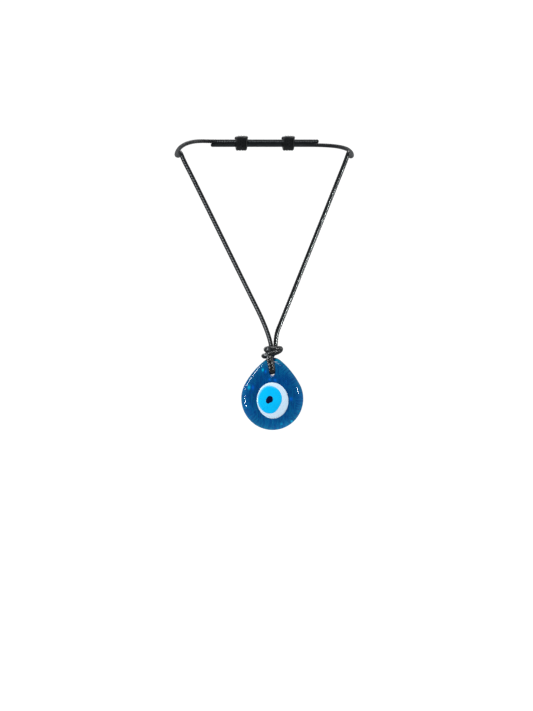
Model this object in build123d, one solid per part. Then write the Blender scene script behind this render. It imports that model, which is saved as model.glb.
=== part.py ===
from build123d import *
import math
import os

os.makedirs("parts", exist_ok=True)

# An evil eye necklace as it hangs on a neck: a glass drop on a waxed cord.
# Millimetres. +X is to the viewer's right, -Y is the front and +Z is up. The origin is
# midway between the two places where the cord bends over the shoulders of the neck.

# Cord
CORD_D = 2.0
CORD_R = CORD_D / 2
RUNNING_CLEARANCE = 0.05
SMOOTH_SHARE = 0.45

# Shoulders: the front legs swing about the line through these two bends
SHOULDER_X = 40.8
SHOULDER_GAP = 1.5

# Glass drop
DROP_X = 3.8
DROP_TOP_Z = -99.1
DROP_HEIGHT = 35.3
BELLY_R = 15.1
TIP_R = 6.0
FLANK_R = 40.0
BACK_Y = 2.5
FRONT_Y = -4.0
DOME_R = 60.0
DOME_Z = -117.0
FRONT_RIM_R = 1.6
BACK_RIM_R = 1.2

# Hole for the cord
HOLE_R = 1.2
HOLE_DEPTH = 7.55
HOLE_RIM_R = 0.85
EDGE_MATCH = 0.1
HOLE_Z = DROP_TOP_Z - HOLE_DEPTH
STRAND_Z = HOLE_Z + HOLE_R - CORD_R - RUNNING_CLEARANCE

# Eye: centre x, centre z, width, height and depth below the dome of each gob of glass
WHITE = (3.9, -120.0, 15.6, 18.0, 1.9)
IRIS = (2.8, -119.4, 11.7, 13.6, 1.3)
PUPIL = (2.4, -119.6, 3.2, 3.6, 0.7)

# Pendant knot
KNOT_X = 3.6
KNOT_BAND_X = 3.85
KNOT_BAND_Y = 2.25
UPPER_BAND_Z = -95.3
LOWER_BAND_Z = -97.2
LOWER_BAND_TILT = -20.0
LEG_END_Z = -95.0

# Sliding knots on the doubled stretch at the nape
NAPE_Y = 84.5
NAPE_Z = 19.5
STRAND_SPACING = CORD_D + 0.04
SLIDE_KNOT_X = 13.0
SLIDE_KNOT_TURNS = 4
SLIDE_KNOT_PITCH = 1.85
SLIDE_CLEARANCE = 0.06
CLOSURE_START_X = 20.0
CLOSURE_END_X = 30.0

# Routes. Each starts at the shoulder bend, except the loop, which starts in the knot.
LEFT_LEG = [
    (-SHOULDER_X, 0, 0),
    (-0.9, 0, -81.0),
    (3.3, 0, -93.0),
    (3.35, 0, LEG_END_Z),
]
RIGHT_LEG = [
    (SHOULDER_X, 0, 0),
    (5.6, 0, -88.3),
    (5.4, 0, LEG_END_Z),
]
LEFT_BACK = [
    (-SHOULDER_X, 0, 0),
    (-42.4, 11.5, 0.6),
    (-45.0, 28.5, 3.8),
    (-45.6, 46.0, 8.8),
    (-44.8, 60.2, 13.6),
    (-41.6, 71.2, 17.5),
    (-36.6, 79.6, 19.9),
    (-29.0, NAPE_Y, NAPE_Z + STRAND_SPACING / 2),
    (-CLOSURE_START_X, NAPE_Y, NAPE_Z + STRAND_SPACING / 2),
]
RIGHT_BACK = [
    (SHOULDER_X, 0, 0),
    (42.2, 11.8, 0.4),
    (44.6, 29.0, 3.5),
    (45.4, 46.4, 8.0),
    (44.5, 60.8, 12.2),
    (41.5, 71.6, 15.2),
    (36.7, 79.7, 17.3),
    (29.0, NAPE_Y, NAPE_Z - STRAND_SPACING / 2),
    (CLOSURE_START_X, NAPE_Y, NAPE_Z - STRAND_SPACING / 2),
]
LOOP_FRONT_Y = -3.9
LOOP_BACK_Y = BACK_Y + CORD_R + 0.4
PENDANT_LOOP = [
    (2.5, -2.0, -96.6),
    (2.7, LOOP_FRONT_Y, -99.4),
    (DROP_X, LOOP_FRONT_Y, STRAND_Z),
    (DROP_X, LOOP_BACK_Y, STRAND_Z),
    (2.9, LOOP_BACK_Y, -99.4),
    (3.3, 1.6, -96.4),
]
HOLE_BEND_R = CORD_D
LOOP_RADII = {2: HOLE_BEND_R, 3: HOLE_BEND_R}


def turn_at(points, i):
    """The turn of the route at one of its points, in degrees."""
    before = Vector(*points[i]) - Vector(*points[i - 1])
    after = Vector(*points[i + 1]) - Vector(*points[i])
    return before.get_angle(after)


def bend_radius(points, i):
    """The largest smooth arc that the two runs beside a point allow."""
    before = (Vector(*points[i]) - Vector(*points[i - 1])).length
    after = (Vector(*points[i + 1]) - Vector(*points[i])).length
    half_turn = math.radians(turn_at(points, i)) / 2
    return SMOOTH_SHARE * min(before, after) / math.tan(half_turn)


def shortened(points, gap):
    """The route with its first point moved along the first run by the gap."""
    first = Vector(*points[0])
    towards = (Vector(*points[1]) - first).normalized()
    start = first + towards * gap
    return [(start.X, start.Y, start.Z)] + points[1:]


def cord_tube(name, points, fixed_radii=None):
    """A cord along straight runs joined by tangent arcs, checked against its length."""
    fixed_radii = fixed_radii or {}
    corners = range(1, len(points) - 1)
    radii = [fixed_radii.get(i, bend_radius(points, i)) for i in corners]
    path = FilletPolyline(*points, radius=radii)
    section = Plane(origin=path @ 0, z_dir=path % 0) * Circle(CORD_R)
    tube = sweep(section, path=path)
    volume_ratio = tube.volume / (math.pi * CORD_R**2 * path.length)
    radii_text = ", ".join(f"{radius:.1f}" for radius in radii)
    print(f"{name}: length {path.length:.1f}, volume ratio {volume_ratio:.4f}, radii {radii_text}")
    return tube


def ring(half_x, radius):
    """One turn of cord in a level plane, a racetrack round the Z axis."""
    outline = SlotCenterToCenter(2 * (half_x - radius), 2 * radius)
    path = outline.wire()
    section = Plane(origin=path @ 0, z_dir=path % 0) * Circle(CORD_R)
    return sweep(section, path=path)


def drop_outline():
    """Belly and tip circles joined by two large flank arcs, in the XZ plane."""
    belly = Vector(0, BELLY_R - DROP_HEIGHT)
    tip = Vector(0, -TIP_R)
    between = tip.Y - belly.Y
    to_belly = FLANK_R - BELLY_R
    to_tip = FLANK_R - TIP_R
    flank_y = (to_belly**2 - to_tip**2 + between**2) / (2 * between)
    flank = Vector(-math.sqrt(to_belly**2 - flank_y**2), belly.Y + flank_y)
    low = belly + (belly - flank).normalized() * BELLY_R
    high = tip + (tip - flank).normalized() * TIP_R
    middle = (low + high) / 2 - flank
    side = flank + middle.normalized() * FLANK_R
    low_left, high_left, side_left = (Vector(-p.X, p.Y) for p in (low, high, side))
    edges = [
        ThreePointArc(low, side, high),
        ThreePointArc(high, Vector(0, 0), high_left),
        ThreePointArc(high_left, side_left, low_left),
        ThreePointArc(low_left, Vector(0, -DROP_HEIGHT), low),
    ]
    return make_face(edges)


def upright(sketch, x, z):
    """A sketch stood up in the XZ plane at a place, facing the front."""
    plane = Plane(origin=(x, 0, z), x_dir=(1, 0, 0), z_dir=(0, -1, 0))
    return plane * sketch


def slab(sketch, front, back):
    """An upright sketch as a solid from one Y to another."""
    front_part = extrude(sketch, amount=-front, dir=(0, -1, 0))
    return front_part + extrude(sketch, amount=back, dir=(0, 1, 0))


def dome_ball(depth=0.0):
    """The ball whose surface is the domed front, or lies a depth below it."""
    centre_y = FRONT_Y + DOME_R
    return Pos(DROP_X, centre_y, DOME_Z) * Sphere(DOME_R - depth)


def gob_outline(gob):
    x, z, width, height, _ = gob
    return upright(Ellipse(width / 2, height / 2), x, z)


def gob_column(gob):
    """The dome's whole front inside a gob's outline, down to the gob's depth."""
    column = slab(gob_outline(gob), FRONT_Y - 1, BACK_Y)
    return column & dome_ball() - dome_ball(gob[-1])


def glass_blank():
    """The drop before it is pierced: flat back, domed front and rounded rims."""
    body = slab(upright(drop_outline(), DROP_X, DROP_TOP_Z), FRONT_Y - 1, BACK_Y)
    body = body & dome_ball()
    back_rim = body.faces().sort_by(Axis.Y)[-1].edges()
    body = fillet(back_rim, BACK_RIM_R)
    front_rim = body.faces().sort_by(Axis.Y)[0].edges()
    return fillet(front_rim, FRONT_RIM_R)


def on_hole_mouth(edge):
    """Whether an edge is the rim of the hole, as wide as the hole and centred on it."""
    box = edge.bounding_box()
    middle = box.center()
    centred = abs(middle.X - DROP_X) < EDGE_MATCH and abs(middle.Z - HOLE_Z) < EDGE_MATCH
    return centred and abs(box.size.X - 2 * HOLE_R) < EDGE_MATCH


def glass_drop():
    """The drop with its rounded hole and the recess that the eye is pressed into."""
    across = upright(Circle(HOLE_R), DROP_X, HOLE_Z)
    body = glass_blank() - slab(across, FRONT_Y - 1, BACK_Y + 1)
    hole_mouths = [edge for edge in body.edges() if on_hole_mouth(edge)]
    body = fillet(hole_mouths, HOLE_RIM_R)
    return body - gob_column(WHITE)


def pendant_knot():
    """Two bands of cord round the doubled strand, the lower one aslant."""
    upper = Pos(KNOT_X, 0, UPPER_BAND_Z) * ring(KNOT_BAND_X, KNOT_BAND_Y)
    lower_place = Pos(KNOT_X, 0, LOWER_BAND_Z) * Rot(0, LOWER_BAND_TILT, 0)
    lower = lower_place * ring(KNOT_BAND_X, KNOT_BAND_Y)
    core_height = UPPER_BAND_Z - LOWER_BAND_Z + CORD_D / 2
    core = Pos(KNOT_X, 0, (UPPER_BAND_Z + LOWER_BAND_Z) / 2) * Box(
        2 * KNOT_BAND_X - CORD_R, 2 * KNOT_BAND_Y - CORD_R, core_height
    )
    return core + upper + lower


def slide_knot(centre_x):
    """Turns of cord side by side round both strands of the doubled stretch."""
    ring_radius = 2 * CORD_R + SLIDE_CLEARANCE
    half_tall = STRAND_SPACING / 2 + ring_radius
    turns = []
    for i in range(SLIDE_KNOT_TURNS):
        x = centre_x + (i - (SLIDE_KNOT_TURNS - 1) / 2) * SLIDE_KNOT_PITCH
        turn = Pos(x, NAPE_Y, NAPE_Z) * Rot(0, 90, 0) * ring(half_tall, ring_radius)
        turns.append(turn)
    return Part() + turns


def closure_strand(side, z):
    """The straight end of one cord, from its own side to past the far sliding knot."""
    length = CLOSURE_START_X + CLOSURE_END_X
    middle = side * (CLOSURE_START_X - CLOSURE_END_X) / 2
    return Pos(middle, NAPE_Y, z) * Rot(0, 90, 0) * Cylinder(CORD_R, length)


def all_parts():
    upper_z = NAPE_Z + STRAND_SPACING / 2
    lower_z = NAPE_Z - STRAND_SPACING / 2
    return {
        "glass_drop": glass_drop(),
        "eye_white": gob_column(WHITE) - gob_column(IRIS),
        "eye_iris": gob_column(IRIS) - gob_column(PUPIL),
        "eye_pupil": gob_column(PUPIL),
        "pendant_loop": cord_tube("pendant_loop", PENDANT_LOOP, LOOP_RADII),
        "pendant_knot": pendant_knot(),
        "cord_left_leg": cord_tube("cord_left_leg", shortened(LEFT_LEG, SHOULDER_GAP)),
        "cord_right_leg": cord_tube("cord_right_leg", shortened(RIGHT_LEG, SHOULDER_GAP)),
        "cord_left_back": cord_tube("cord_left_back", shortened(LEFT_BACK, SHOULDER_GAP)),
        "cord_right_back": cord_tube("cord_right_back", shortened(RIGHT_BACK, SHOULDER_GAP)),
        "closure_strand_upper": closure_strand(-1, upper_z),
        "closure_strand_lower": closure_strand(1, lower_z),
        "slide_knot_left": slide_knot(-SLIDE_KNOT_X),
        "slide_knot_right": slide_knot(SLIDE_KNOT_X),
    }


for node, solid in all_parts().items():
    export_step(solid, f"parts/{node}.step")
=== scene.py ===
"""The looks of the evil eye necklace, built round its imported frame.

Blender's units are metres. Sizes and routes are written in millimetres, as in the design, and scaled by MM.
The origin is midway between the two shoulder bends, +X is to the viewer's right, -Y is the front, +Z is up.
"""

import math

import bmesh
import bpy
import numpy as np
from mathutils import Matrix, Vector


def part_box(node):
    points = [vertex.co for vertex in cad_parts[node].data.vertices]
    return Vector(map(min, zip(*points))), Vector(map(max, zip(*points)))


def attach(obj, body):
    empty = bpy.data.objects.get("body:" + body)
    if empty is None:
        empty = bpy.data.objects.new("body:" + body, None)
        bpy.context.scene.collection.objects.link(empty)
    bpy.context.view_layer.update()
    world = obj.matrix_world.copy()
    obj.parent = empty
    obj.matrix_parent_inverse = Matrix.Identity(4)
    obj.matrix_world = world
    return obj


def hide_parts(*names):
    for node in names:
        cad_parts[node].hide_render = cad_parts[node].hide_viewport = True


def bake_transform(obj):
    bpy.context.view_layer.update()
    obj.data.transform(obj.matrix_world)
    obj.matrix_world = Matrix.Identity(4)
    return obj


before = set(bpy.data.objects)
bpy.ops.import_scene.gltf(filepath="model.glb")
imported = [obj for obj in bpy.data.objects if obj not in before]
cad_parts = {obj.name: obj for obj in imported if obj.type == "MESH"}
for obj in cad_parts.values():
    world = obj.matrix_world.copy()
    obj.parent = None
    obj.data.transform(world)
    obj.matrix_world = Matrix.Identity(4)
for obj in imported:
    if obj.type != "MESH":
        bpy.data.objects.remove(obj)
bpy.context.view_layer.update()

MM = 0.001
TURN = 2 * math.pi
rng = np.random.default_rng(7)


# ---------------------------------------------------------------- sizes, in millimetres

CORD_D = 2.0
CORD_R = CORD_D / 2

drop_low, drop_high = (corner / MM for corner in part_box("glass_drop"))
DROP_X = (drop_low.x + drop_high.x) / 2
DROP_TOP_Z = drop_high.z
DROP_HEIGHT = drop_high.z - drop_low.z
BACK_Y = drop_high.y

# The outline's arcs, and the ball that the domed front is part of: its foremost point and its centre's height
BELLY_R = (drop_high.x - drop_low.x) / 2
FLANK_R = 40.0
TIP_R = 6.0
DOME_R = 60.0
DOME_FRONT_Y = -4.0
DOME_Z = -117.0

HOLE_R = 1.2
HOLE_RIM_R = 0.85
HOLE_Z = DROP_TOP_Z - 7.55


# ---------------------------------------------------------------- routes of the cord, in millimetres

# Each cord runs from the knot up its leg, over the shoulder, round the neck and along the nape
LEFT_CORD = [
    (3.35, 0, -95.0),
    (3.15, 0, -91.8),
    (-0.8, 0, -81.0),
    (-7.4, 0, -67.9),
    (-35.4, 0, -10.8),
    (-38.9, 0, -4.2),
    (-41.0, 0, 0.9),
    (-41.6, 5.5, 0.6),
    (-42.6, 12.5, 0.8),
    (-45.0, 28.5, 3.8),
    (-45.6, 46.0, 8.8),
    (-44.8, 60.2, 13.6),
    (-41.6, 71.2, 17.5),
    (-36.6, 79.6, 19.9),
    (-29.0, 84.5, 20.52),
    (-20.0, 84.5, 20.52),
    (0.0, 84.5, 20.52),
    (20.0, 84.5, 20.52),
    (30.0, 84.5, 20.52),
]
RIGHT_CORD = [
    (5.4, 0, -95.0),
    (5.2, 0, -88.8),
    (8.5, 0, -81.0),
    (36.4, 0, -11.2),
    (39.3, 0, -4.0),
    (41.0, 0, 0.9),
    (41.6, 5.5, 0.6),
    (42.5, 12.5, 0.5),
    (44.6, 29.0, 3.5),
    (45.4, 46.4, 8.0),
    (44.5, 60.8, 12.2),
    (41.5, 71.6, 15.2),
    (36.7, 79.7, 17.3),
    (29.0, 84.5, 18.48),
    (20.0, 84.5, 18.48),
    (0.0, 84.5, 18.48),
    (-20.0, 84.5, 18.48),
    (-30.0, 84.5, 18.48),
]

# From the knot down the front of the tip, through the hole and up its back
PENDANT_LOOP = [
    (2.4, -2.0, -96.4),
    (2.4, -4.0, -99.4),
    (3.3, -4.1, -103.4),
    (3.8, -3.8, -106.2),
    (3.8, 0, -106.7),
    (3.8, 3.8, -106.2),
    (3.5, 4.0, -103.4),
    (2.9, 3.9, -99.4),
    (3.3, 1.6, -96.4),
]

# The wrap goes nearly twice round the heart of the knot. Both are written from the knot's centre
KNOT_CENTRE = (3.7, 0, -96.5)
KNOT_WRAP = [
    (0.6, 1.0, 2.2),
    (-0.8, 2.3, 1.7),
    (-2.5, 1.9, 1.3),
    (-3.0, -0.2, 1.1),
    (-2.2, -2.3, 1.15),
    (0.0, -2.9, 1.3),
    (2.6, -2.5, 1.5),
    (4.1, -0.8, 1.4),
    (3.9, 1.4, 0.8),
    (2.0, 2.7, -0.2),
    (-1.0, 2.8, -1.0),
    (-3.2, 1.9, -1.8),
    (-4.0, -0.3, -2.0),
    (-3.2, -2.3, -1.95),
    (-1.2, -3.1, -1.3),
    (1.0, -3.1, -0.4),
    (2.9, -2.4, 0.3),
    (3.0, -0.8, 0.4),
]
KNOT_HEART = [
    (0.9, 0.2, 3.0),
    (0.6, 0.3, 1.0),
    (-0.3, 0.3, -1.2),
    (-0.6, 0.3, -2.2),
]
KNOT_WRAP_R = 1.2
KNOT_HEART_R = 1.7

NAPE_Y = 84.5
NAPE_Z = 19.5
STRAND_SPACING = 2.04
SLIDE_KNOT_X = 13.0
SLIDE_KNOT_TURNS = 4
SLIDE_KNOT_PITCH = 1.85
WRAP_CLEARANCE = 0.06
WRAP_STEPS = 12


# ---------------------------------------------------------------- lines and tubes

def smooth_line(name, route):
    """Points along the smooth line that a route's points control, in metres."""
    curve = bpy.data.curves.new(name + "_line", "CURVE")
    curve.dimensions = "3D"
    curve.resolution_u = 48
    spline = curve.splines.new("NURBS")
    spline.points.add(len(route) - 1)
    for point, place in zip(spline.points, route):
        point.co = (*(c * MM for c in place), 1)
    spline.order_u = 3
    spline.use_endpoint_u = True
    holder = bpy.data.objects.new(curve.name, curve)
    mesh = bpy.data.meshes.new_from_object(holder)
    line = np.array([v.co for v in mesh.vertices])
    bpy.data.meshes.remove(mesh)
    bpy.data.objects.remove(holder)
    bpy.data.curves.remove(curve)
    return line


def evenly(line, step):
    """The line's own course again, as points about a step apart, with each point's distance along it."""
    runs = np.linalg.norm(np.diff(line, axis=0), axis=1)
    along = np.concatenate([[0], np.cumsum(runs)])
    at = np.linspace(0, along[-1], math.ceil(along[-1] / step) + 1)
    places = np.stack([np.interp(at, along, line[:, k]) for k in range(3)], axis=1)
    return places, at


def carried_frames(line, first_side):
    """Two side directions at each point of a line, carried along it without twisting."""
    tangents = np.gradient(line, axis=0)
    tangents /= np.linalg.norm(tangents, axis=1)[:, None]
    side = np.array(first_side, float)
    sides = []
    for tangent in tangents:
        side = side - tangent * (side @ tangent)
        side = side / np.linalg.norm(side)
        sides.append(side)
    sides = np.array(sides)
    return sides, np.cross(tangents, sides)


# The braid: its cell along the cord, how deep its grooves are, how far a strand sinks towards its dive
# under the next one, and the height on the braid that the cord's radius is for
STRANDS_EACH_WAY = 4
BRAID_CELL = 1.4 * MM
BRAID_DEPTH = 0.15 * MM
BRAID_DIVE = 0.5
BRAID_LEVEL = 0.3

# The tube that carries it, and its cut ends: melted round over a length, down to a share of the section
RING_STEP = 0.17 * MM
RING_SEGMENTS = 40
END_ROUND = 0.8 * MM
END_SECTION = 0.02


def braid_height(along, angle):
    """How far the braid stands up, 0 in its grooves and 1 on the crown of a strand."""
    turning = STRANDS_EACH_WAY * angle[None, :] / TURN
    travel = along[:, None] / BRAID_CELL
    right_hand = turning - travel
    left_hand = turning + travel
    right_on_top = (np.floor(right_hand) + np.floor(left_hand)) % 2 == 0
    across = 2 * (np.where(right_on_top, right_hand, left_hand) % 1) - 1
    lengthwise = 2 * (np.where(right_on_top, left_hand, right_hand) % 1) - 1
    return np.sqrt(1 - across**2) * (1 - BRAID_DIVE * lengthwise**2)


def new_mesh(name, points, faces):
    """A smooth-shaded mesh object in the scene."""
    mesh = bpy.data.meshes.new(name)
    mesh.from_pydata([tuple(p) for p in points], [], faces)
    mesh.polygons.foreach_set("use_smooth", np.ones(len(mesh.polygons), bool))
    mesh.update()
    piece = bpy.data.objects.new(name, mesh)
    bpy.context.scene.collection.objects.link(piece)
    return piece


def point_values(piece, name, values):
    """One number at each point of a piece, for its material to read by name."""
    attribute = piece.data.attributes.new(name, "FLOAT", "POINT")
    attribute.data.foreach_set("value", np.asarray(values, np.float32).ravel())


def tube_faces(rings, segments):
    """The quads between rings, and one face over each end."""
    faces = []
    for i in range(rings - 1):
        here = i * segments
        there = here + segments
        for j in range(segments):
            k = (j + 1) % segments
            faces.append((here + j, here + k, there + k, there + j))
    faces.append(tuple(reversed(range(segments))))
    faces.append(tuple((rings - 1) * segments + j for j in range(segments)))
    return faces


def braided_cord(name, route, first_side=(0, 1, 0), wide=1.0, thick=1.0, radius=CORD_R * MM):
    """A round braided cord along a route. Wide and thick flatten it along its two carried side directions."""
    line, along = evenly(smooth_line(name, route), RING_STEP)
    sides, ups = carried_frames(line, first_side)
    angle = TURN * np.arange(RING_SEGMENTS) / RING_SEGMENTS
    height = braid_height(along, angle)
    from_end = np.minimum(along, along[-1] - along)
    melted = np.clip(from_end / END_ROUND, 0, 1)[:, None]
    rounding = np.sqrt(np.clip(1 - (1 - melted) ** 2, END_SECTION, 1))
    reach = radius * rounding + BRAID_DEPTH * (height - BRAID_LEVEL) * melted
    across = wide * np.cos(angle)[None, :, None] * sides[:, None, :]
    upward = thick * np.sin(angle)[None, :, None] * ups[:, None, :]
    points = line[:, None, :] + reach[:, :, None] * (across + upward)
    piece = new_mesh(name, points.reshape(-1, 3), tube_faces(len(line), RING_SEGMENTS))
    point_values(piece, "crown", height * melted)
    return piece, line


# ---------------------------------------------------------------- cords and knots

def shoulder_blend(piece):
    """Bakes the cord's placement into its mesh."""
    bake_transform(piece)


def helical_wrap(centre_x):
    """Turns of cord side by side round both strands, rounded over each and straight between them."""
    # The smooth line cuts inside its control points, so they stand out by this share
    bulge = 1 / (0.75 + 0.25 * math.cos(TURN / WRAP_STEPS))
    reach = bulge * (CORD_D + WRAP_CLEARANCE)
    length = (SLIDE_KNOT_TURNS - 1) * SLIDE_KNOT_PITCH
    count = SLIDE_KNOT_TURNS * WRAP_STEPS
    route = []
    for i in range(count + 1):
        angle = TURN * i / WRAP_STEPS
        strand_z = NAPE_Z + math.copysign(STRAND_SPACING / 2, math.cos(angle))
        x = centre_x + (i / count - 0.5) * length
        route.append((x, NAPE_Y + reach * math.sin(angle), strand_z + reach * math.cos(angle)))
    return route


def about_the_knot(route):
    """A route that is written from the knot's centre, in the necklace's own frame."""
    return [tuple(a + b for a, b in zip(KNOT_CENTRE, place)) for place in route]


left_cord, left_line = braided_cord("cord_left", LEFT_CORD, first_side=(-0.34, 0.92, -0.17))
right_cord, right_line = braided_cord("cord_right", RIGHT_CORD)
loop, _ = braided_cord("loop_cord", PENDANT_LOOP, first_side=(1, 0, 0), wide=1.5, thick=0.85)
knot, _ = braided_cord(
    "knot_wrap", about_the_knot(KNOT_WRAP), first_side=(0, 0, 1), wide=1.2, radius=KNOT_WRAP_R * MM,
)
knot_heart, _ = braided_cord("knot_heart", about_the_knot(KNOT_HEART), radius=KNOT_HEART_R * MM)
left_slide, _ = braided_cord("sliding_wrap_left", helical_wrap(-SLIDE_KNOT_X), first_side=(1, 0, 0))
right_slide, _ = braided_cord("sliding_wrap_right", helical_wrap(SLIDE_KNOT_X), first_side=(1, 0, 0))


# ---------------------------------------------------------------- the glass drop

# Points in each ring, and rings over each face, rim and mouth
AROUND = 320
FACE_ROWS = 30
RIM_ROWS = 10
MOUTH_ROWS = 6

# How far each rounded rim reaches in over the face and down the edge
FRONT_RIM = (2.6, 1.7)
BACK_RIM = (1.7, 1.4)

# Unevenness: of the outline, and of the back, which is set in to leave room for it and ripples near the rim
EDGE_WAVE = 0.05
BACK_RIPPLE = 0.05
BACK_SET_IN = 0.12
RIPPLE_INSET = 2.6
RIPPLE_SPREAD = 2.0

# The streaks' noise: its reach round the edge, its length inwards, and its step from the front to the back
STREAK_RING = 24.0
STREAK_LONG = 3.2
STREAK_BACK_STEP = 50

# The distance in from the edge that the hole's mouth counts as
MOUTH_INSET = 6.0

BUBBLE_COUNT = 26
BUBBLE_REACH = (9.2, 13.2)
BUBBLE_Y = (-0.6, 1.4)
BUBBLE_CENTRE_Z = -119.6
BUBBLE_R = (0.07, 0.17)
BUBBLE_STRETCH = (0.9, 1.7)

# Painted glowing spots near the front, bright glints and deep blue shade spots: centre x, centre z, width,
# height, and 1 for a bright one or 0 for a deep blue one
GLOW_SPOTS = [
    (-0.8, -105.2, 1.0, 1.4, 1.0),
    (0.5, -105.9, 0.9, 1.5, 0.0),
    (-7.5, -113.6, 1.1, 2.0, 1.0),
    (-5.6, -113.7, 1.0, 2.2, 0.0),
    (2.5, -109.8, 1.2, 1.0, 0.0),
    (5.1, -110.1, 1.4, 1.2, 0.0),
    (12.9, -119.2, 1.3, 1.6, 0.0),
    (13.3, -130.1, 1.0, 0.9, 0.9),
    (8.2, -131.4, 0.9, 0.9, 0.8),
]


def drop_outline(count):
    """Places round the drop's edge and the outward direction at each, in the XZ plane."""
    belly = np.array([DROP_X, DROP_TOP_Z - DROP_HEIGHT + BELLY_R])
    tip = np.array([DROP_X, DROP_TOP_Z - TIP_R])
    between = tip[1] - belly[1]
    to_belly = FLANK_R - BELLY_R
    to_tip = FLANK_R - TIP_R
    rise = (to_belly**2 - to_tip**2 + between**2) / (2 * between)
    flank = belly + np.array([-math.sqrt(to_belly**2 - rise**2), rise])
    low_turn = math.atan2(*(belly - flank)[::-1])
    high_turn = math.atan2(*(tip - flank)[::-1])
    arcs = [
        (belly, BELLY_R, -TURN / 4, low_turn),
        (flank, FLANK_R, low_turn, high_turn),
        (tip, TIP_R, high_turn, TURN / 4),
    ]
    lengths = np.array([radius * (stop - start) for _, radius, start, stop in arcs])
    ends = np.cumsum(lengths)
    half = count // 2
    places, outward = [], []
    for s in np.linspace(0, ends[-1], half + 1):
        k = min(int(np.searchsorted(ends, s)), len(arcs) - 1)
        centre, radius, start, _ = arcs[k]
        turn = start + (s - (ends[k] - lengths[k])) / radius
        direction = np.array([math.cos(turn), math.sin(turn)])
        outward.append(direction)
        places.append(centre + radius * direction)
    places, outward = np.array(places), np.array(outward)
    mirror_place = places[-2:0:-1] * [-1, 1] + [2 * DROP_X, 0]
    mirror_out = outward[-2:0:-1] * [-1, 1]
    return np.vstack([places, mirror_place]), np.vstack([outward, mirror_out])


def dome_y(x, z):
    """The domed front's Y at a place."""
    return DOME_FRONT_Y + DOME_R - np.sqrt(DOME_R**2 - (x - DROP_X) ** 2 - (z - DOME_Z) ** 2)


def waves(turns, amplitude, lowest, highest, sharpness=1.0):
    """A seeded sum of waves round a full turn, periodic, with a root mean square of the amplitude."""
    orders = np.arange(lowest, highest + 1)
    phases = rng.uniform(0, TURN, len(orders))
    sizes = rng.normal(0, 1, len(orders)) * (orders / lowest) ** -sharpness
    total = (sizes[:, None] * np.cos(orders[:, None] * turns[None, :] + phases[:, None])).sum(axis=0)
    return amplitude * total / np.sqrt((sizes**2).sum() / 2)


def glow_spot_values(points, at_back):
    """A painted glowing spot's share at each point: 1 at a bright glint in the front, 0 at a deep blue shade
    spot, 0.5 elsewhere.
    """
    values = np.full(len(points), 0.5)
    for x, z, width, height, shade in GLOW_SPOTS:
        away = np.hypot((points[:, 0] - x) / (width / 2), (points[:, 2] - z) / (height / 2))
        values += (shade - 0.5) * np.exp(-(away**2)) * (1 - at_back)
    return np.clip(values, 0, 1)


def ripple_share(inset):
    """How strongly the back ripples at a distance in from the edge."""
    return np.exp(-((inset - RIPPLE_INSET) / RIPPLE_SPREAD) ** 2)


class DropSkin:
    """The drop's surface as rings of points, with what the glass needs to know at each of them."""

    def __init__(self):
        edge, self.outward = drop_outline(AROUND)
        turns = TURN * np.arange(AROUND) / AROUND
        self.edge = edge + self.outward * waves(turns, EDGE_WAVE, 2, 7)[:, None]
        self.ripple = waves(turns, BACK_RIPPLE, 40, 110, 0.4)
        self.hole = np.array([DROP_X, HOLE_Z])
        spokes = self.edge - self.hole
        self.spokes = spokes / np.linalg.norm(spokes, axis=1)[:, None]
        self.rows, self.sides, self.insets, self.nearests = [], [], [], []

    def add(self, places, y, at_back, inset, nearest):
        """One ring, with its distance in from the edge and the nearest place on the edge."""
        self.rows.append(np.stack([places[:, 0], y, places[:, 1]], axis=1))
        self.sides.append(np.full(AROUND, float(at_back)))
        self.insets.append(inset)
        self.nearests.append(nearest)

    def face(self, share, rim, at_back):
        """A ring on a face, which is at the hole's mouth for a share of 0 and at the rim for 1."""
        inner = self.hole + (HOLE_R + HOLE_RIM_R) * self.spokes
        outer = self.edge - rim[0] * self.outward
        places = inner + share * (outer - inner)
        gaps = np.linalg.norm(self.edge[None, :, :] - places[:, None, :], axis=2)
        nearest = gaps.argmin(axis=1)
        inset = gaps.min(axis=1)
        if at_back:
            y = BACK_Y - BACK_SET_IN + self.ripple[nearest] * ripple_share(inset)
        else:
            y = dome_y(places[:, 0], places[:, 1])
        self.add(places, y, at_back, inset, nearest)

    def rim(self, angle, rim, at_back):
        """A ring on a rounded rim, which meets the face at 0 and the edge at a quarter turn."""
        inset = rim[0] * (1 - math.sin(angle))
        sink = rim[1] * (1 - math.cos(angle))
        places = self.edge - inset * self.outward
        if at_back:
            y = BACK_Y - BACK_SET_IN - sink + self.ripple * ripple_share(inset) * math.cos(angle)
        else:
            y = dome_y(places[:, 0], places[:, 1]) + sink
        self.add(places, y, at_back, np.full(AROUND, inset), np.arange(AROUND))

    def mouth(self, angle, at_back):
        """A ring on the hole's rounded mouth, which meets the face at 0 and the bore at a quarter turn."""
        reach = HOLE_R + HOLE_RIM_R * (1 - math.sin(angle))
        sink = HOLE_RIM_R * (1 - math.cos(angle))
        places = self.hole + reach * self.spokes
        if at_back:
            y = np.full(AROUND, BACK_Y - BACK_SET_IN - sink)
        else:
            y = dome_y(places[:, 0], places[:, 1]) + sink
        self.add(places, y, at_back, np.full(AROUND, MOUTH_INSET), np.arange(AROUND))

    def faces(self):
        """The quads between each ring and the next, and between the last ring and the first."""
        count = len(self.rows)
        made = []
        for i in range(count):
            here = i * AROUND
            there = (i + 1) % count * AROUND
            for j in range(AROUND):
                k = (j + 1) % AROUND
                made.append((here + j, there + j, there + k, here + k))
        return made


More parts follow.
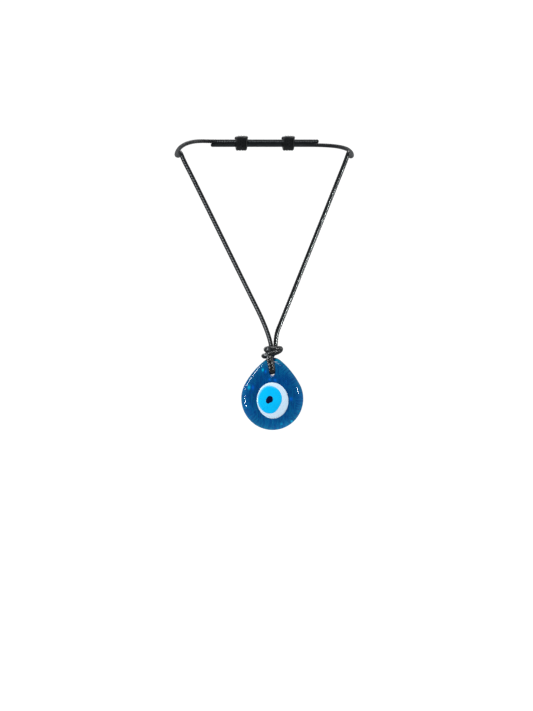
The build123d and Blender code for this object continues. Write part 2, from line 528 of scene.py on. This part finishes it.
def streak_rays(piece, nearest, inset, at_back):
    """Where each point lies in the streaks' noise, so that they run in from the nearest edge."""
    turned = TURN * nearest / AROUND
    deep = inset / STREAK_LONG + at_back * STREAK_BACK_STEP
    vectors = np.stack([STREAK_RING * np.cos(turned), STREAK_RING * np.sin(turned), deep], axis=1)
    attribute = piece.data.attributes.new("ray", "FLOAT_VECTOR", "POINT")
    attribute.data.foreach_set("vector", vectors.astype(np.float32).ravel())


def glass_drop():
    """The clear drop, ring by ring: front face, rims, back face, and through the hole to the front again."""
    skin = DropSkin()
    for share in np.linspace(0, 1, FACE_ROWS)[:-1]:
        skin.face(share, FRONT_RIM, False)
    for angle in np.linspace(0, TURN / 4, RIM_ROWS):
        skin.rim(angle, FRONT_RIM, False)
    for angle in np.linspace(0, TURN / 4, RIM_ROWS)[::-1]:
        skin.rim(angle, BACK_RIM, True)
    for share in np.linspace(1, 0, FACE_ROWS)[1:]:
        skin.face(share, BACK_RIM, True)
    for angle in np.linspace(0, TURN / 4, MOUTH_ROWS)[1:]:
        skin.mouth(angle, True)
    for angle in np.linspace(TURN / 4, 0, MOUTH_ROWS)[:-1]:
        skin.mouth(angle, False)

    points = np.vstack(skin.rows)
    at_back = np.concatenate(skin.sides)
    inset = np.concatenate(skin.insets)
    piece = new_mesh("glass_drop_shape", points * MM, skin.faces())
    point_values(piece, "at_back", at_back)
    point_values(piece, "inset", inset)
    # Where the glass glows with painted glints and deep blue painted shade spots
    point_values(piece, "glow_spot", glow_spot_values(points, at_back))
    streak_rays(piece, np.concatenate(skin.nearests), inset, at_back)
    return piece


def add_bubbles(piece):
    """Small bubbles inside the glass, as hollow balls with their faces turned inwards."""
    work = bmesh.new()
    work.from_mesh(piece.data)
    for _ in range(BUBBLE_COUNT):
        turn = rng.uniform(0, TURN)
        reach = rng.uniform(*BUBBLE_REACH)
        y = rng.uniform(*BUBBLE_Y)
        place = Vector((DROP_X + reach * math.sin(turn), y, BUBBLE_CENTRE_Z + reach * math.cos(turn)))
        made = bmesh.ops.create_icosphere(work, subdivisions=2, radius=rng.uniform(*BUBBLE_R) * MM)
        stretch = rng.uniform(*BUBBLE_STRETCH)
        for vertex in made["verts"]:
            vertex.co.z *= stretch
            vertex.co += place * MM
        faces = {face for vertex in made["verts"] for face in vertex.link_faces}
        for face in faces:
            face.normal_flip()
            face.smooth = True
    work.to_mesh(piece.data)
    work.free()


drop = glass_drop()
add_bubbles(drop)


# ---------------------------------------------------------------- the eye

EYE_AROUND = 160

# A gob's rings from its middle out to its edge, as shares of its reach
CROWN_SHARES = np.concatenate([np.linspace(0.04, 0.8, 16), 1 - 0.2 * np.linspace(0.94, 0, 16) ** 1.5])

# Then down its wall and in over its underside: shares of its reach, and of its depth
WALL_RINGS = [(1.0, 0.35), (0.97, 0.75), (0.88, 1.0), (0.5, 1.0), (0.05, 1.0)]
UNDERSIDE_RINGS = 3

# Its edge ends this far below its crown's own curve
EDGE_TUCK = 0.03

# The upper left, as a turn in degrees
UPPER_LEFT = 145


def blob_outline(width, height, lean, dents):
    """Reach from the centre at each turn, for an ellipse leaned over and pressed in at each dent.

    A dent is its turn and spread in degrees and its depth as a share of the reach.
    """
    turns = TURN * np.arange(EYE_AROUND) / EYE_AROUND
    local = turns - math.radians(lean)
    reach = (width / 2 * height / 2) / np.hypot(height / 2 * np.cos(local), width / 2 * np.sin(local))
    for at, spread, depth in dents:
        away = (turns - math.radians(at) + math.pi) % TURN - math.pi
        reach = reach * (1 - depth * np.exp(-((away / math.radians(spread)) ** 2)))
    return turns, reach


def dome_ring(centre, turns, reach, sink):
    """A ring of points about a centre on the dome, sunk into it, or standing on it if sink is negative."""
    x = centre[0] + reach * np.cos(turns)
    z = centre[1] + reach * np.sin(turns)
    return np.stack([x, dome_y(x, z) + sink, z], axis=1)


def gob(name, centre, outline, lift, depth, soft_edge):
    """A flat gob of opaque glass on the dome: a crowned top with a soft edge, a wall and a bottom."""
    turns, reach = outline
    rings = []
    for share in CROWN_SHARES:
        inset = (1 - share) * reach
        stand = lift * (1 - np.clip(1 - inset / soft_edge, 0, 1) ** 2) - EDGE_TUCK * (share == 1)
        rings.append(dome_ring(centre, turns, share * reach, -stand))
    for share, sunk in WALL_RINGS:
        rings.append(dome_ring(centre, turns, share * reach, sunk * depth))

    count = len(rings)
    edge = np.concatenate([CROWN_SHARES, np.ones(len(WALL_RINGS))])
    underside = np.arange(count) >= count - UNDERSIDE_RINGS
    upper_left = np.clip(np.cos(turns - math.radians(UPPER_LEFT)), 0, 1)
    piece = new_mesh(name, np.vstack(rings) * MM, tube_faces(count, EYE_AROUND))
    point_values(piece, "edge", np.repeat(edge, EYE_AROUND))
    point_values(piece, "underside", np.repeat(underside, EYE_AROUND))
    point_values(piece, "upper_left", np.tile(upper_left, count))
    return piece


white = gob(
    "eye_white_gob", (3.9, -119.95),
    blob_outline(15.3, 17.6, 4, [(210, 30, 0.012), (60, 40, 0.01)]),
    lift=0.10, depth=1.8, soft_edge=0.8,
)
iris = gob(
    "eye_iris_gob", (2.55, -119.4),
    blob_outline(12.6, 14.4, 8, [(-38, 30, 0.10), (140, 38, 0.05), (72, 24, 0.03)]),
    lift=0.16, depth=1.2, soft_edge=0.7,
)
pupil = gob(
    "eye_pupil_gob", (2.35, -119.6),
    blob_outline(3.8, 4.4, -28, [(-78, 20, 0.22), (150, 34, 0.12), (-40, 26, 0.04)]),
    lift=0.21, depth=0.6, soft_edge=0.4,
)


# ---------------------------------------------------------------- materials

class Look:
    """A node material with one Principled shader, built up by short calls."""

    def __init__(self, name):
        self.material = bpy.data.materials.new(name)
        self.material.use_nodes = True
        self.tree = self.material.node_tree
        self.shader = self.tree.nodes["Principled BSDF"]
        self.output = self.tree.nodes["Material Output"]

    def set(self, **values):
        """Values that are the same all over the surface, on the shader's own sockets."""
        for name, value in values.items():
            self.shader.inputs[name.replace("_", " ")].default_value = value

    def feed(self, name, socket):
        """A value that varies over the surface, from another node."""
        self.tree.links.new(socket, self.shader.inputs[name])

    def plug(self, socket, value):
        """Link a socket to another one, or set it to a number or a colour."""
        if isinstance(value, bpy.types.NodeSocket):
            self.tree.links.new(value, socket)
        else:
            socket.default_value = (*value, 1) if socket.type == "RGBA" else value

    def node(self, kind, inputs=None, **settings):
        made = self.tree.nodes.new(kind)
        for name, value in settings.items():
            setattr(made, name, value)
        for name, value in (inputs or {}).items():
            self.plug(made.inputs[name], value)
        return made

    def attribute(self, name):
        return self.node("ShaderNodeAttribute", attribute_name=name)

    def places(self, x, y, z):
        """Object coordinates scaled to whole features: one unit is x, y and z millimetres."""
        coordinates = self.node("ShaderNodeTexCoord").outputs["Object"]
        scale = tuple(1 / (size * MM) for size in (x, y, z))
        inputs = {"Vector": coordinates, "Scale": scale}
        return self.node("ShaderNodeMapping", inputs, vector_type="POINT").outputs["Vector"]

    def noise(self, vector, detail, roughness=0.5):
        inputs = {"Vector": vector, "Scale": 1.0, "Detail": detail, "Roughness": roughness}
        return self.node("ShaderNodeTexNoise", inputs).outputs["Fac"]

    def ramp(self, factor, stops):
        """A colour for each value, from stops of a place and a colour."""
        made = self.node("ShaderNodeValToRGB", {"Fac": factor})
        elements = made.color_ramp.elements
        while len(elements) < len(stops):
            elements.new(0.5)
        for element, (place, colour) in zip(elements, stops):
            element.position = place
            element.color = (*colour, 1)
        return made.outputs["Color"]

    def spread(self, value, low, high, to_low, to_high):
        """A value's range from low to high, spread over another range and held at its ends."""
        inputs = {"Value": value, "From Min": low, "From Max": high, "To Min": to_low, "To Max": to_high}
        return self.node("ShaderNodeMapRange", inputs, clamp=True).outputs["Result"]

    def maths(self, operation, a, b):
        made = self.node("ShaderNodeMath", operation=operation)
        for socket, value in zip(made.inputs, (a, b)):
            self.plug(socket, value)
        return made.outputs[0]

    def mix(self, factor, a, b, blend_type="MIX"):
        """Two colours mixed. The node's colour sockets are 6 and 7, after those of its other types."""
        made = self.node("ShaderNodeMix", data_type="RGBA", blend_type=blend_type)
        for place, value in ((0, factor), (6, a), (7, b)):
            self.plug(made.inputs[place], value)
        return made.outputs[2]

    def bump(self, height, strength, distance):
        inputs = {"Height": height, "Strength": strength, "Distance": distance * MM}
        self.feed("Normal", self.node("ShaderNodeBump", inputs).outputs["Normal"])


def waxed_cord():
    """Black waxed cotton: painted shade darkens the braid's grooves, worn in patches, with fine glossy
    fibres.
    """
    look = Look("waxed_cord")
    fibres = look.noise(look.places(0.12, 0.12, 0.5), 4, 0.6)
    patches = look.noise(look.places(3.5, 3.5, 5.0), 2)
    # The base colour follows the braid's height: painted shade in its grooves, paler on its crowns
    painted_groove_shade = (0.002, 0.003, 0.004)
    strand = (0.010, 0.012, 0.014)
    crest = (0.022, 0.025, 0.028)
    crown = look.attribute("crown").outputs["Fac"]
    shade = look.ramp(crown, [(0.15, painted_groove_shade), (0.75, strand), (1.0, crest)])
    worn = look.spread(patches, 0.35, 0.7, 0.65, 1.5)
    grey = look.node("ShaderNodeCombineColor", {"Red": worn, "Green": worn, "Blue": worn}).outputs[0]
    toned = look.mix(1.0, shade, grey, "MULTIPLY")
    look.feed("Base Color", toned)
    look.feed("Roughness", look.spread(fibres, 0.3, 0.7, 0.15, 0.28))
    look.bump(fibres, 0.12, 0.03)
    look.set(Specular_IOR_Level=0.7, Coat_Weight=0.5, Coat_Roughness=0.12, IOR=1.5)
    return look.material


def blue_glass():
    """Clear deep blue glass: streaks that run in from its edge, teal near its top, a faint painted glow all
    over, and glowing spots of painted glint and painted shade.
    """
    look = Look("blue_glass")
    rays = look.noise(look.attribute("ray").outputs["Vector"], 3, 0.55)
    streaks = look.noise(look.places(0.8, 3.0, 4.0), 3, 0.6)
    inset = look.attribute("inset").outputs["Fac"]
    inner = look.spread(inset, 2.4, 4.8, 0, 1)
    by_edge = look.maths("MULTIPLY", rays, look.maths("SUBTRACT", 1.0, inner))
    pattern = look.maths("ADD", by_edge, look.maths("MULTIPLY", streaks, inner))
    dark_streak = (0.02, 0.32, 0.60)
    blue = (0.08, 0.58, 0.84)
    pale_streak = (0.25, 1.0, 1.0)
    tint = look.ramp(pattern, [(0.42, dark_streak), (0.5, blue), (0.58, pale_streak)])

    height = look.node("ShaderNodeSeparateXYZ", {"Vector": look.places(1, 1, 1)}).outputs["Z"]
    near_top = look.spread(height, -118.0, -101.0, 0, 0.75)
    drift = look.spread(look.noise(look.places(9.0, 9.0, 11.0), 1), 0.42, 0.62, 0, 0.6)
    toned = look.mix(look.maths("MAXIMUM", drift, near_top), tint, (1.0, 0.80, 0.42), "MULTIPLY")
    back = look.attribute("at_back").outputs["Fac"]
    share = look.spread(back, 0, 1, 0.3, 1.0)
    look.feed("Base Color", look.mix(share, (0.72, 0.94, 1.0), toned))
    look.feed("Roughness", look.spread(streaks, 0.3, 0.7, 0.02, 0.07))

    # Painted light: the glass glows faintly all over, bright cyan at the painted glints and deep blue at the
    # painted shade spots
    deep_blue_glow = (0.0, 0.06, 0.42)
    glow = (0.0, 0.006, 0.022)
    bright_glow = (0.0, 0.42, 0.60)
    glow_spot = look.attribute("glow_spot").outputs["Fac"]
    look.feed("Emission Color", look.ramp(glow_spot, [(0.0, deep_blue_glow), (0.5, glow), (1.0, bright_glow)]))
    look.set(Transmission_Weight=1.0, IOR=1.5, Emission_Strength=1.0)
    absorption = look.node("ShaderNodeVolumeAbsorption", {"Color": (0.0, 0.725, 0.850), "Density": 1600.0})
    look.tree.links.new(absorption.outputs["Volume"], look.output.inputs["Volume"])
    return look.material


def white_glass():
    """Opaque white glass. Its underside glows a little, for the light that comes to it through the blue."""
    look = Look("white_glass")
    cloud = look.noise(look.places(5.0, 5.0, 4.0), 3)
    look.feed("Base Color", look.mix(cloud, (0.64, 0.82, 0.99), (0.74, 0.88, 1.0)))
    look.feed("Roughness", look.spread(cloud, 0.3, 0.7, 0.10, 0.2))
    look.set(IOR=1.5, Specular_IOR_Level=0.4, Coat_Weight=0.2, Coat_Roughness=0.05)
    underside = look.attribute("underside").outputs["Fac"]
    look.feed("Emission Color", look.mix(underside, (0.0, 0.0, 0.0), (0.45, 0.75, 0.95)))
    look.set(Emission_Strength=1.4)
    return look.material


def light_blue_glass():
    """Opaque light blue glass, paler blue along its upper left edge."""
    look = Look("light_blue_glass")
    cloud = look.noise(look.places(4.0, 4.0, 3.0), 3)
    body = look.mix(cloud, (0.0, 0.49, 1.0), (0.0, 0.59, 1.0))
    by_edge = look.spread(look.attribute("edge").outputs["Fac"], 0.84, 1.0, 0, 1.0)
    paler_edge = look.maths("MULTIPLY", by_edge, look.attribute("upper_left").outputs["Fac"])
    look.feed("Base Color", look.mix(paler_edge, body, (0.45, 0.74, 0.98)))
    look.feed("Roughness", look.spread(cloud, 0.3, 0.7, 0.10, 0.2))
    look.set(IOR=1.5, Specular_IOR_Level=0.35, Coat_Weight=0.2, Coat_Roughness=0.05)
    return look.material


def dark_glass():
    """Opaque glass of so deep a blue that it is nearly black."""
    look = Look("dark_glass")
    cloud = look.noise(look.places(1.2, 1.2, 1.2), 2)
    look.feed("Base Color", look.mix(cloud, (0.002, 0.003, 0.025), (0.004, 0.010, 0.060)))
    look.feed("Roughness", look.spread(cloud, 0.3, 0.7, 0.08, 0.16))
    look.set(IOR=1.5, Specular_IOR_Level=0.5)
    return look.material


def dress(piece, material, slot, body, *nodes):
    """A piece's material, the body that it rides on and the nodes that it stands for. The slot is not used.

    The two long cords ride on no one body.
    """
    piece.data.materials.append(material)
    if body:
        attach(piece, body)
    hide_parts(*nodes)


cord_look = waxed_cord()
dress(left_cord, cord_look, "waxed_cord", None, "cord_left_leg", "cord_left_back", "closure_strand_upper")
dress(right_cord, cord_look, "waxed_cord", None, "cord_right_leg", "cord_right_back", "closure_strand_lower")
dress(loop, cord_look, "waxed_cord", "front_v", "pendant_loop")
dress(knot, cord_look, "waxed_cord", "front_v", "pendant_knot")
dress(knot_heart, cord_look, "waxed_cord", "front_v", "pendant_knot")
dress(left_slide, cord_look, "waxed_cord", "left_sliding_knot", "slide_knot_left")
dress(right_slide, cord_look, "waxed_cord", "right_sliding_knot", "slide_knot_right")
dress(drop, blue_glass(), "blue_glass", "pendant", "glass_drop")
dress(white, white_glass(), "white_glass", "pendant", "eye_white")
dress(iris, light_blue_glass(), "light_blue_glass", "pendant", "eye_iris")
dress(pupil, dark_glass(), "dark_glass", "pendant", "eye_pupil")

shoulder_blend(left_cord)
shoulder_blend(right_cord)


# ---------------------------------------------------------------- camera, floor and light

# In metres. The view's height is what the picture shows at the pendant's distance
CAMERA = Vector((0.00097, -0.600, -0.0982))
VIEW_HEIGHT = 0.3455
SENSOR = 36.0
FLOOR_Z = -0.32
FLOOR_REACH = 4.0
LIGHT_TARGET = Vector((0.0, 0.0, -0.09))

# How bright the world is: to look at, as a room in reflections (dimmest at the front), and as fill light
BACKDROP = 1.05
ROOM_AT_FRONT = 0.05
ROOM_ELSEWHERE = 0.20
FILL = 0.22

# The Y of a direction where the room is dimmest, and where it has reached its strength elsewhere
DIM_FROM_Y = -0.98
DIM_TO_Y = -0.6

camera_data = bpy.data.cameras.new("camera")
camera_data.sensor_width = SENSOR
camera_data.lens = SENSOR * abs(CAMERA.y) / VIEW_HEIGHT
camera = bpy.data.objects.new("camera", camera_data)
camera.location = CAMERA
camera.rotation_euler = (math.radians(90), 0, 0)
bpy.context.scene.collection.objects.link(camera)
bpy.context.scene.camera = camera
bpy.context.scene.view_settings.view_transform = "Standard"


def floor():
    """A plain pale floor, which stays out of the object's reflections and of its shaded light."""
    reach = FLOOR_REACH
    around = [(-reach, -reach), (reach, -reach), (reach, reach), (-reach, reach)]
    corners = [(x, y, FLOOR_Z) for x, y in around]
    piece = new_mesh("floor", corners, [(0, 1, 2, 3)])
    look = Look("floor")
    look.set(Base_Color=(0.9, 0.9, 0.9, 1), Roughness=0.9, Specular_IOR_Level=0.1)
    look.set(Emission_Color=(1, 1, 1, 1), Emission_Strength=0.75)
    piece.data.materials.append(look.material)
    piece.visible_glossy = False
    piece.visible_diffuse = False


def softbox(name, direction, distance, size, power, pieces, colour=(1, 1, 1)):
    """An area light that faces the pendant from a direction and lights only some of the pieces."""
    light = bpy.data.lights.new(name, "AREA")
    light.shape = "RECTANGLE"
    light.size, light.size_y = size
    light.energy = power
    light.color = colour
    lamp = bpy.data.objects.new(name, light)
    lamp.location = LIGHT_TARGET + Vector(direction).normalized() * distance
    lamp.rotation_mode = "QUATERNION"
    lamp.rotation_quaternion = (lamp.location - LIGHT_TARGET).to_track_quat("Z", "Y")
    lamp.visible_camera = False
    lamp.visible_transmission = False
    bpy.context.scene.collection.objects.link(lamp)
    lit = bpy.data.collections.new(name + "_lights")
    for piece in pieces:
        lit.objects.link(piece)
    lamp.light_linking.receiver_collection = lit


def studio():
    """A white backdrop to look at and through, with a dimmer room in reflections and a soft fill."""
    world = bpy.data.worlds.new("studio")
    bpy.context.scene.world = world
    world.use_nodes = True
    nodes = world.node_tree.nodes
    link = world.node_tree.links.new
    path = nodes.new("ShaderNodeLightPath")

    backdrop = nodes["Background"]
    backdrop.inputs["Color"].default_value = (1, 1, 1, 1)
    backdrop.inputs["Strength"].default_value = BACKDROP

    directions = nodes.new("ShaderNodeTexCoord")
    split = nodes.new("ShaderNodeSeparateXYZ")
    link(directions.outputs["Generated"], split.inputs[0])
    by_front = nodes.new("ShaderNodeMapRange")
    link(split.outputs["Y"], by_front.inputs["Value"])
    by_front.inputs["From Min"].default_value = DIM_FROM_Y
    by_front.inputs["From Max"].default_value = DIM_TO_Y
    by_front.inputs["To Min"].default_value = ROOM_AT_FRONT
    by_front.inputs["To Max"].default_value = ROOM_ELSEWHERE
    strength = nodes.new("ShaderNodeMath")
    strength.operation = "MULTIPLY_ADD"
    link(path.outputs["Is Diffuse Ray"], strength.inputs[0])
    strength.inputs[1].default_value = FILL
    link(by_front.outputs["Result"], strength.inputs[2])
    room = nodes.new("ShaderNodeBackground")
    room.inputs["Color"].default_value = (0.92, 0.96, 1.0, 1)
    link(strength.outputs[0], room.inputs["Strength"])

    seen = nodes.new("ShaderNodeMath")
    seen.operation = "MAXIMUM"
    link(path.outputs["Is Camera Ray"], seen.inputs[0])
    link(path.outputs["Is Transmission Ray"], seen.inputs[1])
    either = nodes.new("ShaderNodeMixShader")
    link(seen.outputs[0], either.inputs["Fac"])
    link(room.outputs[0], either.inputs[1])
    link(backdrop.outputs[0], either.inputs[2])
    link(either.outputs[0], nodes["World Output"].inputs["Surface"])


def lamps():
    """Soft lights for the pendant, a sheen along each cord, and more from above, beside and behind."""
    front = [drop, white, iris, pupil, loop, knot, knot_heart]
    slides = [left_slide, right_slide]
    cords = [left_cord, right_cord, left_slide, right_slide, knot, loop]
    softbox("key", (-0.82, -0.33, 0.54), 0.8, (0.20, 0.60), 4.2, front, (0.94, 0.97, 1.0))
    softbox("top", (0.1, -0.8, 1.0), 1.0, (0.5, 0.5), 2.8, front)
    softbox("low_left", (-0.72, -0.66, -0.20), 0.8, (0.09, 0.22), 2.2, front, (0.9, 0.97, 1.0))
    softbox("front_right", (0.80, -1.0, 0.08), 0.8, (0.11, 0.15), 1.3, front)
    softbox("left_sheen", (-0.42, -0.90, -0.25), 0.8, (0.60, 0.60), 4.6, [left_cord], (0.9, 0.95, 1.0))
    softbox("right_glints", (0.62, -0.74, -0.25), 0.8, (0.06, 0.06), 6.0, [right_cord], (0.92, 1.0, 0.98))
    softbox("overhead", (0.1, 0.35, 1.0), 1.0, (0.6, 0.6), 2.5, cords)
    softbox("side", (1.0, 0.2, 0.2), 1.0, (0.6, 0.6), 1.2, cords)
    softbox("behind", (-0.3, 1.0, 0.35), 1.0, (0.7, 0.7), 1.6, front + slides)


floor()
studio()
lamps()
